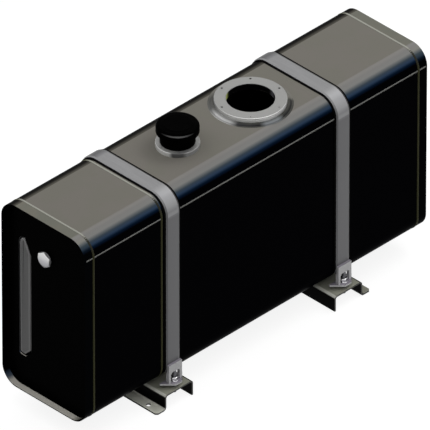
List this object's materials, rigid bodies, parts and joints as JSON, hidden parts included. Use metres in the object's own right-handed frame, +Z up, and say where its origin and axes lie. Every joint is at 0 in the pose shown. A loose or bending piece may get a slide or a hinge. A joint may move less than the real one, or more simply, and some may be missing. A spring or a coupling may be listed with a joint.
{
  "type": "strap-mounted hydraulic oil tank",
  "caption": "Rounded rectangular steel oil tank on bracket rails, held down by steel straps over rubber liners, with a round filter flange and a filler cap on top.",
  "frame": {"origin": "on the ground, at the centre of the base bolt holes", "axes": "+X along the tank towards its plain end, +Y across it towards the back, +Z up"},
  "size_m": [1.31, 0.375, 0.743],
  "materials": {
    "tank_paint": "gloss black enamel",
    "weld_bead": "gloss black enamel over a weld bead",
    "pocket_paint": "satin grey primer",
    "gauge_paint": "satin grey enamel",
    "flange_steel": "machined steel",
    "cap_plastic": "moulded black plastic",
    "strap_steel": "rolled steel strip",
    "shoe_steel": "folded steel strip",
    "rubber": "matte black rubber",
    "zinc": "bright zinc plate",
    "rail_paint": "gloss black enamel"
  },
  "bodies": {
    "root": {"shell_left": "tank_paint", "shell_right": "tank_paint", "end_cap_left": "tank_paint", "end_cap_right": "tank_paint", "cap_weld_left": "weld_bead", "middle_weld": "weld_bead", "cap_weld_right": "weld_bead", "seam_front": "weld_bead", "seam_back": "weld_bead", "gauge_pocket": "pocket_paint", "level_gauge": "gauge_paint", "plug_boss": "zinc", "level_plug": "zinc", "filter_flange": "flange_steel", "flange_weld": "flange_steel", "filler_neck": "flange_steel", "filler_cap_body": "cap_plastic", "filler_cap_crown": "cap_plastic", "strap_left": "strap_steel", "strap_right": "strap_steel", "liner_left": "rubber", "liner_right": "rubber", "shoe_front_left": "shoe_steel", "shoe_front_right": "shoe_steel", "shoe_back_left": "shoe_steel", "shoe_back_right": "shoe_steel", "stud_front_left": "zinc", "stud_front_right": "zinc", "stud_back_left": "zinc", "stud_back_right": "zinc", "nut_front_left": "zinc", "nut_front_right": "zinc", "nut_back_left": "zinc", "nut_back_right": "zinc", "lock_nut_front_left": "zinc", "lock_nut_front_right": "zinc", "lock_nut_back_left": "zinc", "lock_nut_back_right": "zinc", "rail_left": "rail_paint", "rail_right": "rail_paint", "pad_left": "rubber", "pad_right": "rubber"}
  },
  "joints": []
}
